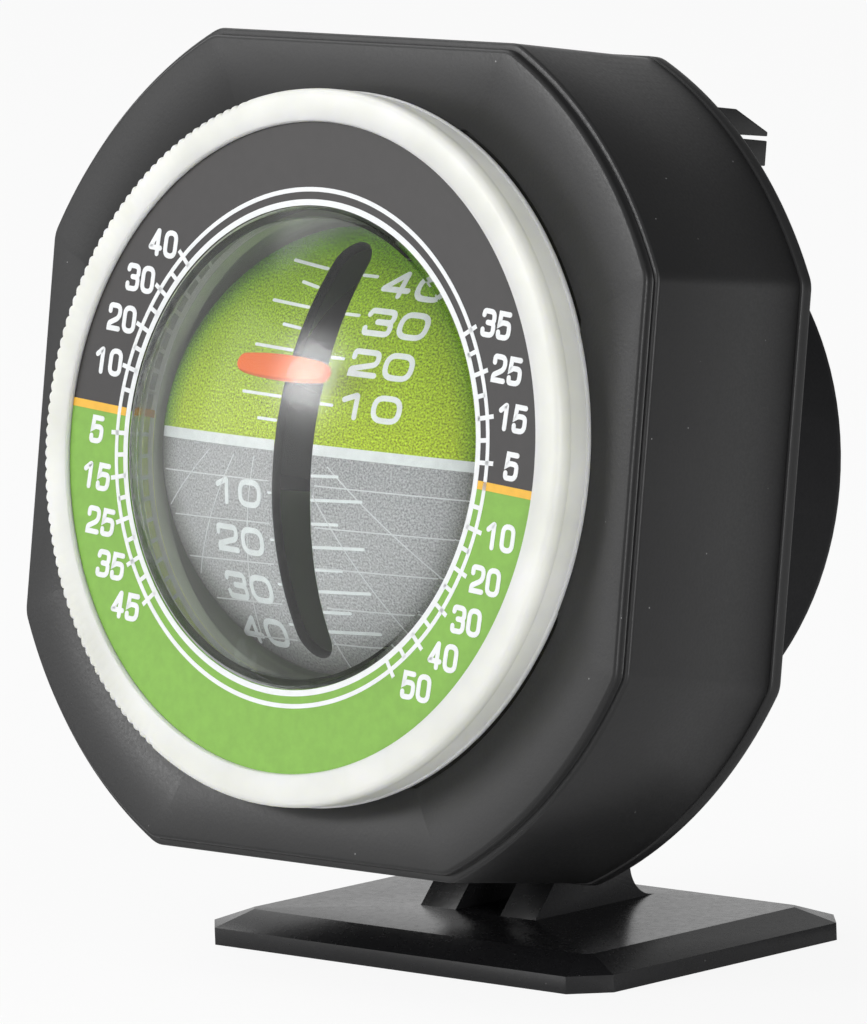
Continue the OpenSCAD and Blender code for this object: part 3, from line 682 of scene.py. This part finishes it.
def lead_clip():
    """Two jaws with a slit between them, each an extruded outline with rounded edges."""
    root = SHELL_D + COVER_T - 0.3
    tip = SHELL_D + COVER_T + CLIP_REACH
    ledge = SHELL_D + COVER_T + CLIP_REACH / 3
    gap = CLIP_SLIT / 2
    upper = [(root, gap), (tip, gap), (tip, gap + CLIP_UP / 6), (ledge, CLIP_UP), (root, CLIP_UP)]
    lower = [(root, -CLIP_LOW), (tip, -CLIP_LOW), (tip, -gap), (root, -gap)]
    form = bmesh.new()
    for outline in (upper, lower):
        near = [form.verts.new((CLIP_X, y, CLIP_Z + z)) for y, z in outline]
        far = [form.verts.new((CLIP_X - CLIP_W, y, CLIP_Z + z)) for y, z in outline]
        form.faces.new(near)
        form.faces.new(reversed(far))
        for i in range(len(outline)):
            j = (i + 1) % len(outline)
            form.faces.new((near[j], near[i], far[i], far[j]))
    bmesh.ops.bevel(form, geom=form.edges[:], offset=0.12, segments=2, affect="EDGES", profile=0.6)
    form.verts.index_update()
    verts = [tuple(v.co) for v in form.verts]
    faces = [tuple(v.index for v in f.verts) for f in form.faces]
    form.free()
    piece = make_piece("lead_clip", verts, faces, COVER, "head", sharp=30)
    return stand_for(piece, "cover_plastic")


# ---------- bezel ----------


GRIP_CENTRE, GRIP_HALF_ARC, GRIP_FADE = math.radians(175), math.radians(68), math.radians(3)
GRIP_BAND, GRIP_LIP, TOOTH_ROUND = 0.8, 1.8, 0.7


def grip(angle):
    """How far a place on the bezel's rim lies in its serrated arc, on the left, 0 to 1."""
    off = abs(angle - GRIP_CENTRE)
    return max(0.0, min(1.0, (GRIP_HALF_ARC - off) / GRIP_FADE))


def bezel_ring():
    lip_y = -BEZEL_H + GRIP_LIP
    smooth_r = BEZEL_R - GRIP_BAND

    def reach(radius, y, angle):
        if radius < smooth_r or y > lip_y:
            return radius
        valley = 1 - abs(math.sin(BEZEL_TEETH * angle / 2)) ** TOOTH_ROUND
        full = (radius - smooth_r) / GRIP_BAND
        return radius - TOOTH_DEPTH * valley * full * grip(angle)

    back = RECESS_D - RUN_GAP
    seat_r, seat_y = BEZEL_IN_R + 0.36, PANEL_T + 0.34
    profile = [
        (BEZEL_IN_R, DIAL_Y), (BEZEL_IN_R, -BEZEL_H + 0.35),
        (BEZEL_IN_R + 0.12, -BEZEL_H + 0.1), (BEZEL_IN_R + 0.4, -BEZEL_H),
        (smooth_r, -BEZEL_H), (BEZEL_R - 0.42, -BEZEL_H + 0.09),
        (BEZEL_R - 0.18, -BEZEL_H + 0.28), (BEZEL_R - 0.05, -BEZEL_H + 0.6),
        (BEZEL_R, -BEZEL_H + 1.1), (BEZEL_R, lip_y - 0.08),
        (BEZEL_R - 0.05, lip_y), (BEZEL_R - 0.14, lip_y + 0.08),
        (BEZEL_R - 0.16, back - 0.75), (BEZEL_R - 0.02, back - 0.65), (BEZEL_R, back - 0.5),
        (BEZEL_R - 0.06, back - 0.1), (BEZEL_R - 0.3, back),
        (SKIRT_R, back), (SKIRT_R, seat_y), (seat_r, seat_y), (seat_r, DIAL_Y),
    ]
    verts, faces = lathe(profile, BEZEL_TEETH * 6, reach)
    piece = make_piece("bezel_grip_ring", verts, faces, IVORY, "bezel", sharp=42)
    return stand_for(piece, "luminous_plastic", "bezel_ring")


def dial_plate():
    outer, low = BEZEL_IN_R + 0.25, DIAL_Y + DIAL_T
    profile = [
        (DIAL_HOLE_R, low), (DIAL_HOLE_R, DIAL_Y + 0.12), (DIAL_HOLE_R + 0.08, DIAL_Y),
        (outer, DIAL_Y), (outer, low),
    ]
    verts, faces = lathe(profile, 360)
    tilt = math.tan(DIAL_TURN)

    def field(x, y, z):
        """Charcoal above the split line, green below it and white in the hole."""
        if math.hypot(x, z) < DIAL_HOLE_R + 0.02:
            return 2
        return 0 if z > -x * tilt else 1

    piece = make_piece("dial_print", verts, faces, [CHARCOAL, GREEN, WHITE], "bezel", pick=field)
    return stand_for(piece, "dial_print", "dial_plate")


RING_INNER, RING_OUTER, TICK_END = 24.84, 26.15, 27.0
RING_INNER_W, RING_OUTER_W, RUNG_W = 0.62, 0.46, 0.46
RUNG_STEP = 5
LEFT_UP, LEFT_DOWN = (10, 20, 30, 40), (5, 15, 25, 35, 45)
RIGHT_UP, RIGHT_DOWN = (5, 15, 25, 35), (10, 20, 30, 40, 50)
LEFT_REACH, RIGHT_REACH = 29.15, 29.5
NUMBER_SPREAD, LOW_RIGHT_SPREAD = 0.94, 0.915
DIAL_DIGIT = {"width": 1.95, "height": 2.9, "gap": 0.2, "corner": 0.85, "thick": 0.54}
SPLIT_LINE, SPLIT_LINE_W = (25.2, 33.0), 0.85


def scale_angles():
    """(numbers, side, up or down) of the four runs of the roll scale."""
    return ((LEFT_UP, -1, 1), (LEFT_DOWN, -1, -1), (RIGHT_UP, 1, 1), (RIGHT_DOWN, 1, -1))


def radial(value, side, way, start, end):
    a = math.radians(value)
    c, s = side * math.cos(a), way * math.sin(a)
    return [(start * c, start * s), (end * c, end * s)]


def ladder():
    """Two circles with a rung every 5 degrees and a longer tick at each number."""
    rings = ((RING_INNER, RING_INNER_W), (RING_OUTER, RING_OUTER_W))
    shapes = [stroke(ring_line(radius), width, closed=True) for radius, width in rings]
    for values, side, way in scale_angles():
        for value in range(RUNG_STEP, values[-1] + 1, RUNG_STEP):
            end = TICK_END if value in values else RING_OUTER
            rung = radial(value, side, way, RING_INNER, end)
            shapes.append(stroke(rung, RUNG_W, round_ends=False))
    return shapes


def dial_numbers():
    shapes = []
    for values, side, way in scale_angles():
        squeeze = LOW_RIGHT_SPREAD if (side, way) == (1, -1) else NUMBER_SPREAD
        reach = LEFT_REACH if side < 0 else RIGHT_REACH
        for value in values:
            a = math.radians(value * squeeze)
            centre = (side * reach * math.cos(a), way * reach * math.sin(a))
            shapes += number(str(value), centre, **DIAL_DIGIT)
    return shapes


def side_lines(ends, width):
    """The same level line on both sides of the dial."""
    halves = ([(side * x, 0) for x in ends] for side in (-1, 1))
    return [stroke(half, width, round_ends=False) for half in halves]


def dial_prints():
    print_piece("dial_ladder", ladder(), on_dial, WHITE, "bezel", "dial_print")
    print_piece("dial_numbers", dial_numbers(), on_dial, WHITE, "bezel", "dial_print")
    split = side_lines(SPLIT_LINE, SPLIT_LINE_W)
    print_piece("dial_line", split, on_dial, AMBER, "bezel", "dial_print")


# ---------- dome, and the painted refraction of the dial under its rim ---


def dome_lens():
    sphere = (DOME_R ** 2 + DOME_H ** 2) / (2 * DOME_H)
    centre = DIAL_Y - DOME_H + sphere
    apex = centre - sphere

    def cap(radius, edge, steps=40):
        """Profile of a spherical cap from near its pole to its edge."""
        full = math.degrees(math.asin(edge / radius))
        turns = [math.radians(full * k / steps) for k in range(1, steps + 1)]
        return [(radius * math.sin(a), centre - radius * math.cos(a)) for a in turns]

    outer = cap(sphere, DOME_R - 0.25) + [(DOME_R, DIAL_Y + 0.4), (DOME_R, DOME_FLANGE_FRONT)]
    outer += [(DOME_FLANGE_R, DOME_FLANGE_FRONT), (DOME_FLANGE_R, DOME_FLANGE_BACK)]
    inner_r = DOME_R - DOME_WALL
    inner = [(inner_r, DOME_FLANGE_BACK), (inner_r, DIAL_Y + 0.6)]
    inner += cap(sphere - DOME_WALL, inner_r - 0.2)[::-1]
    verts, faces = open_lathe(outer, inner, apex, apex + DOME_WALL)
    piece = make_piece("dome_clear", verts, faces, CLEAR, "head", sharp=30)
    return stand_for(piece, "clear_acrylic", "dome_lens")


def open_lathe(outer, inner, apex_out, apex_in, steps=192):
    """Cap turned from an outer and an inner profile that both start at a pole."""
    verts, faces = lathe(outer + inner, steps)
    count = len(outer) + len(inner)
    drop = (count - 1) * steps
    faces = [f for f in faces if not (min(f) < steps and max(f) >= drop)]
    verts += [(0, apex_out, 0), (0, apex_in, 0)]
    top, under = len(verts) - 2, len(verts) - 1
    for k in range(steps):
        ahead = (k + 1) % steps
        faces.append((top, ahead, k))
        faces.append((under, drop + k, drop + ahead))
    return verts, faces


REFRACTION_FIELD_R, REFRACTION_FIELD_W = 27.0, 5.0
REFRACTION_LINE, REFRACTION_LINE_W = (24.6, 29.4), 0.8


def clamp_print():
    """Painted refraction: a copy of the dial's scale laid on the clamp ring's plane, standing in
    for the dial's image seen through the dome's rim.
    """
    def lay(name, shapes, mat, lift=PRINT_T):
        print_piece(name, shapes, on_clamp, mat, "head", "clamp_plastic", lift)

    upper, lower = ring_line(REFRACTION_FIELD_R, 0, 180), ring_line(REFRACTION_FIELD_R, 180, 360)
    lay("painted_refraction_upper", [stroke(upper, REFRACTION_FIELD_W, round_ends=False)], PAINTED_REFRACTION_GREY, lift=0.0)
    lay("painted_refraction_lower", [stroke(lower, REFRACTION_FIELD_W, round_ends=False)], PAINTED_REFRACTION_GREEN, lift=0.0)
    lay("painted_refraction_ladder", ladder(), PAINTED_REFRACTION_CREAM)
    lay("painted_refraction_numbers", dial_numbers(), PAINTED_REFRACTION_CREAM)
    lay("painted_refraction_line", side_lines(REFRACTION_LINE, REFRACTION_LINE_W), PAINTED_REFRACTION_AMBER)


# ---------- globe ----------


def slot_half(z):
    """Half width of the pointer slot at a height."""
    reach = (SLOT_LEN - SLOT_END_W) / 2
    z = abs(z)
    if z <= SLOT_SWELL:
        return SLOT_W / 2
    if z <= reach:
        return SLOT_W / 2 - (SLOT_W - SLOT_END_W) / 2 * (z - SLOT_SWELL) / (reach - SLOT_SWELL)
    over = z - reach
    return math.sqrt(max(0.0, (SLOT_END_W / 2) ** 2 - over * over))


SIDE_ROWS, END_ROWS, RIM_ROWS, COLUMNS = 38, 14, 10, 40


def globe_rows():
    """Heights of the globe mesh's rows, closer together at the slot's ends and the rim."""
    end, end_r = SLOT_LEN / 2, SLOT_END_W / 2
    rows = [(end - end_r) * k / SIDE_ROWS for k in range(SIDE_ROWS + 1)]
    rows += [end - end_r * (1 - k / END_ROWS) ** 2 for k in range(1, END_ROWS)] + [end]
    rows += [GLOBE_R - (GLOBE_R - end) * (1 - k / RIM_ROWS) ** 2 for k in range(1, RIM_ROWS + 1)]
    rows = sorted(set(round(r, 4) for r in rows))
    return [-r for r in reversed(rows[1:])] + rows


def globe_face():
    """The globe's face in two halves beside the slot, joined above and below it."""
    verts, faces, uv = [], [], []
    rows = globe_rows()
    for side in (-1, 1):
        start = len(verts)
        for z in rows:
            inner = slot_half(z)
            outer = math.sqrt(max(1e-4, GLOBE_R ** 2 - z * z))
            for k in range(COLUMNS + 1):
                x = side * (inner + (max(outer, inner + 1e-3) - inner) * k / COLUMNS)
                verts.append(on_globe(x, z, 0.0))
                uv.append((x, z))
        for r in range(len(rows) - 1):
            for k in range(COLUMNS):
                a = start + r * (COLUMNS + 1) + k
                faces.append((a, a + 1, a + COLUMNS + 2, a + COLUMNS + 1))
    mats = [FIELD_GREEN, FIELD_GREY, BLACK_BAND]
    piece = make_piece("globe_print", verts, faces, mats, "globe", uv=uv)
    for face in piece.data.polygons:
        middle = sum(uv[i][1] for i in face.vertices)
        face.material_index = 0 if middle > 0 else 1
    turn_outward(piece)
    form = bmesh.new()
    form.from_mesh(piece.data)
    bmesh.ops.remove_doubles(form, verts=form.verts, dist=2 * JOIN_MM * MM)
    form.to_mesh(piece.data)
    form.free()
    wall = piece.modifiers.new("wall", "SOLIDIFY")
    wall.thickness = GLOBE_T * MM
    wall.offset = -1.0
    wall.material_offset = 2
    wall.material_offset_rim = 2
    return stand_for(piece, "globe_print", "globe_face")


TICK_RISE = 28.2
TICK_W = 0.32
LONG_TICK, SHORT_TICK = (-8.7, 9.3), (-5.6, 6.2)
TICK_SLOPE_UP, TICK_SLOPE_LOW = 0.5, math.tan(math.radians(4.2))
UPPER_NUMBERS = {10: (9.1, 4.9), 20: (9.25, 9.25), 30: (9.3, 13.45), 40: (9.4, 17.4)}
LOWER_NUMBERS = {10: (-8.2, -5.3), 20: (-8.2, -10.15), 30: (-8.1, -14.95), 40: (-7.8, -19.3)}
SIDE_TICK_END, NOTCH, NOTCH_W = 4.4, 0.35, 0.26
PITCH_DIGIT = {"width": 3.6, "height": 2.85, "gap": 0.5, "corner": 1.3, "thick": 0.58}
HORIZON_Z, HORIZON_W, HORIZON_TURN = -0.02, 1.1, math.radians(-0.8)
HORIZON_END = 22.6
GROUND_LEVELS = ((-4.2, -3.1), (-8.7, -7.1), (-12.9, -11.1), (-17.0, -15.0), (-20.5, -18.7))
GROUND_FEET = (-40, -22, -9, 4, 17, 34)
GROUND_LINE_W = 0.13


def pitch_ticks():
    """Ticks every 5 degrees on both sides of the slot."""
    shapes = []

    def tick(a, b, width=TICK_W):
        shapes.append(stroke(finely([a, b], 1.0), width))

    for value in range(5, 41, 5):
        z = TICK_RISE * math.sin(math.radians(value))
        far_left, far_right = SHORT_TICK if value % 10 else LONG_TICK
        edge = slot_half(z) + 0.2
        rise = TICK_SLOPE_UP * (z / TICK_RISE * 1.5) ** 2
        tick((far_left + rise, z + rise), (-edge, z))
        if value % 10 == 0:
            tick((edge, z - 0.2), (SIDE_TICK_END, z - 0.2))
            tick((-edge, -z), (-edge - NOTCH, -z), NOTCH_W)
        low = -z - 0.15
        tick((edge, low), (far_right, low + (far_right - edge) * TICK_SLOPE_LOW))
    return shapes


def pitch_numbers():
    shapes = []
    for places in (UPPER_NUMBERS, LOWER_NUMBERS):
        for value, centre in places.items():
            shapes += number(str(value), centre, **PITCH_DIGIT)
    return shapes


def grid_lines():
    """Faint ground lines of the lower field: near-level ones, and ones that meet at a far point."""
    shapes = []

    def clipped(a, b):
        """The runs of a line that lie on the lower field, clear of the slot."""
        pts = [p for p in finely([a, b], 0.6) if p.length < GLOBE_R - 0.6 and p.y < -1.2]
        runs, run = [], []
        for p in pts:
            if abs(p.x) > slot_half(p.y) + 0.25:
                run.append(p)
            elif run:
                runs.append(run)
                run = []
        runs.append(run)
        return [r for r in runs if len(r) > 2]

    for left, right in GROUND_LEVELS:
        for run in clipped((-23, left), (23, right)):
            shapes.append(stroke(run, GROUND_LINE_W))
    for foot in GROUND_FEET:
        for run in clipped((foot * 0.12 - 4, 2.0), (foot, -23)):
            shapes.append(stroke(run, GROUND_LINE_W))
    return shapes


def horizon():
    """The line between the fields, in two halves beside the slot."""
    halves = []
    for side in (-1, 1):
        near, far = side * (SLOT_W / 2 + 0.05), side * HORIZON_END
        level = finely([(near, HORIZON_Z), (far, HORIZON_Z)])
        bent = [turned(p.x, p.y, HORIZON_TURN) for p in level]
        halves.append(stroke(bent, HORIZON_W, round_ends=False))
    return halves


def globe_prints():
    def lay(name, shapes, mat=GLOBE_WHITE):
        print_piece(name, shapes, on_globe, mat, "globe", "globe_print")

    lay("globe_grid", grid_lines(), GRID_LINE)
    lay("globe_horizon", horizon())
    lay("globe_ticks", pitch_ticks())
    lay("globe_numbers", pitch_numbers())


# ---------- pitch pointer ----------


def pitched(along, across, angle, radius):
    """Point on the pendulum's swing: along is sideways, angle is the reading."""
    z = radius * math.sin(angle) + across * math.cos(angle)
    y = PITCH_Y - radius * math.cos(angle) + across * math.sin(angle)
    x, z = turned(along, z, GLOBE_ROLL)
    return x, y, z


def flag_outline(inset):
    """Pill that swells gently towards its middle, as points anticlockwise from its lower right."""
    end_r, swell = FLAG_END_H / 2, (FLAG_H - FLAG_END_H) / 2
    half = FLAG_W / 2 - end_r
    outline = arc(half, 0, end_r - inset, -90, 90, 12)
    for k in range(1, 10):
        off = 1 - k / 5
        outline.append((half * off, end_r - inset + swell * (1 - off ** 2)))
    return outline + [(-x, -z) for x, z in outline]


def pointer_flag():
    """Orange pill with rounded front edges."""
    rings = []
    front, back = SWING_R + FLAG_T / 2, SWING_R - FLAG_T / 2
    for inset, depth in ((0.0, back), (0.0, front - 0.3), (0.09, front - 0.1), (0.3, front)):
        rings.append([pitched(x, z, PITCH_READING, depth) for x, z in flag_outline(inset)])
    verts, faces = loft(rings)
    count = len(rings[0])
    faces = [f for f in faces if not (min(f) < count and max(f) >= 3 * count)]
    faces += [tuple(range(count)), tuple(range(3 * count, 4 * count))]
    piece = make_piece("pointer_pill", verts, faces, ORANGE, "pitch_pendulum", sharp=40)
    return stand_for(piece, "pointer_orange", "pointer_flag")


# ---------- build ----------

front_shell()
back_cover()
lead_clip()
bezel_ring()
dial_plate()
dial_prints()
dome_lens()
clamp_print()
globe_face()
globe_prints()
pointer_flag()
soften("base_plate", "base_bracket", BASE, 0.25, "base_plastic", "base", angle=12)

SEEN_NODES = {
    "instrument_can": ("can_shell", CAN, "cover_plastic", "head"),
    "pivot_screw": ("tilt_screw", STEEL, "bracket_steel", "base"),
    "pivot_washer": ("tilt_washer", STEEL, "bracket_steel", "base"),
    "pivot_nut": ("tilt_nut", STEEL, "bracket_steel", "base"),
    "cover_screws": ("case_screws", STEEL, "screw_steel", "head"),
}
HIDDEN_NODES = {
    "adhesive_pad": FOAM, "dome_gasket": RUBBER, "dome_clamp_ring": CLAMP_PAINTED_LIGHT,
    "bearing_block": MECHANISM, "bearing_screws": STEEL, "roll_bushes": BRASS,
    "bezel_retainer": MECHANISM, "globe_yoke": MECHANISM, "roll_shaft": STEEL,
    "roll_weight": BRASS, "weight_screws": STEEL, "pitch_bushes": BRASS,
    "pitch_axle": STEEL, "pointer_arm": BLACK_BAND, "pitch_weight": BRASS,
}


def line_can(piece):
    """The can's inside gets a lighter green colour: partly a pale inner wall, partly painted light,
    its brightness and green tint standing in for the globe's reflection in its deep shade.
    """
    piece.data.materials.append(CAN_INSIDE_PAINTED_LIGHT)
    to_head, facing = HEAD.inverted(), HEAD_M.to_3x3().inverted()
    for face in piece.data.polygons:
        x, y, z = to_head @ face.center
        if math.hypot(x, z) < CAN_R - 1.5 and abs((facing @ face.normal).y) < 0.5:
            face.material_index = 1


def dress_cad_nodes():
    for node, (name, mat, slot, body) in SEEN_NODES.items():
        piece = soften(node, name, mat, 0.18, slot, body)
        if node == "instrument_can":
            line_can(piece)
    for node, mat in HIDDEN_NODES.items():
        nodes[node].material_slots[0].material = mat


dress_cad_nodes()

# ---------- stage ----------


def make_floor():
    mesh = bpy.data.meshes.new("floor")
    half = 6.0
    corners = [(-half, -half, 0), (half, -half, 0), (half, half, 0), (-half, half, 0)]
    mesh.from_pydata(corners, [], [(0, 1, 2, 3)])
    mat = bpy.data.materials.new("floor_white")
    mat.use_nodes = True
    tree = mat.node_tree
    matte = tree.nodes["Principled BSDF"]
    matte.inputs["Base Color"].default_value = (0.85, 0.85, 0.85, 1)
    matte.inputs["Roughness"].default_value = 0.9
    glow = tree.nodes.new("ShaderNodeEmission")
    glow.inputs["Strength"].default_value = 1.0
    path = tree.nodes.new("ShaderNodeLightPath")
    seen = path.outputs["Is Camera Ray"]
    for other, level in (("Is Transmission Ray", 1.0), ("Is Glossy Ray", FLOOR_SHEEN)):
        part = tree.nodes.new("ShaderNodeMath")
        part.operation = "MULTIPLY"
        part.inputs[1].default_value = level
        tree.links.new(path.outputs[other], part.inputs[0])
        either = tree.nodes.new("ShaderNodeMath")
        either.operation = "MAXIMUM"
        tree.links.new(seen, either.inputs[0])
        tree.links.new(part.outputs["Value"], either.inputs[1])
        seen = either.outputs["Value"]
    share = tree.nodes.new("ShaderNodeMath")
    share.operation = "MULTIPLY"
    share.inputs[1].default_value = FLOOR_GLOW
    tree.links.new(seen, share.inputs[0])
    mixed = tree.nodes.new("ShaderNodeMixShader")
    tree.links.new(share.outputs["Value"], mixed.inputs["Fac"])
    tree.links.new(matte.outputs["BSDF"], mixed.inputs[1])
    tree.links.new(glow.outputs["Emission"], mixed.inputs[2])
    tree.links.new(mixed.outputs["Shader"], tree.nodes["Material Output"].inputs["Surface"])
    mesh.materials.append(mat)
    floor = bpy.data.objects.new("floor", mesh)
    bpy.context.scene.collection.objects.link(floor)


def make_world():
    """White to the camera; as a light, soft grey that is dimmest behind and to the right."""
    world = bpy.data.worlds.new("studio")
    bpy.context.scene.world = world
    world.use_nodes = True
    tree = world.node_tree
    sky = tree.nodes["Background"]
    way = tree.nodes.new("ShaderNodeSeparateXYZ")
    tree.links.new(tree.nodes.new("ShaderNodeTexCoord").outputs["Generated"], way.inputs["Vector"])
    behind = spread(tree, way.outputs["X"], -0.8, -0.2, WORLD_BACK_LEFT, WORLD_BACK_RIGHT)
    level = spread(tree, way.outputs["Y"], -0.5, 0.6, WORLD_FRONT, 0.0)
    tree.links.new(behind, level.node.inputs["To Max"])
    path = tree.nodes.new("ShaderNodeLightPath")
    seen = tree.nodes.new("ShaderNodeMath")
    seen.operation = "MAXIMUM"
    tree.links.new(path.outputs["Is Camera Ray"], seen.inputs[0])
    tree.links.new(level, seen.inputs[1])
    tree.links.new(seen.outputs["Value"], sky.inputs["Strength"])
    sky.inputs["Color"].default_value = (1, 1, 1, 1)


def make_lamp(name, direction, distance, size, power):
    """Soft square lamp that faces the dial from a head-frame direction."""
    data = bpy.data.lights.new(name, "AREA")
    data.shape = "SQUARE"
    data.size = size
    data.energy = power
    lamp = bpy.data.objects.new(name, data)
    bpy.context.scene.collection.objects.link(lamp)
    away = (HEAD_M.to_3x3() @ Vector(direction)).normalized()
    lamp.location = HEAD_M.translation + away * distance
    lamp.rotation_mode = "QUATERNION"
    lamp.rotation_quaternion = away.to_track_quat("Z", "Y")


FLOOR_GLOW, FLOOR_SHEEN = 0.9, 0.15
WORLD_FRONT, WORLD_BACK_LEFT, WORLD_BACK_RIGHT = 0.52, 1.0, 0.14
make_floor()
make_world()
make_lamp("key", (-0.48, -0.85, 0.26), 1.3, 0.3, 4.5)
make_lamp("sheen", (-0.70, -0.72, 0.0), 1.3, 1.0, 2.9)
make_lamp("fill", (0.95, -0.30, 0.10), 1.3, 0.6, 6.6)
make_lamp("top", (-0.60, -0.20, 0.78), 1.3, 0.8, 3.6)
bpy.context.scene.view_settings.view_transform = "Standard"
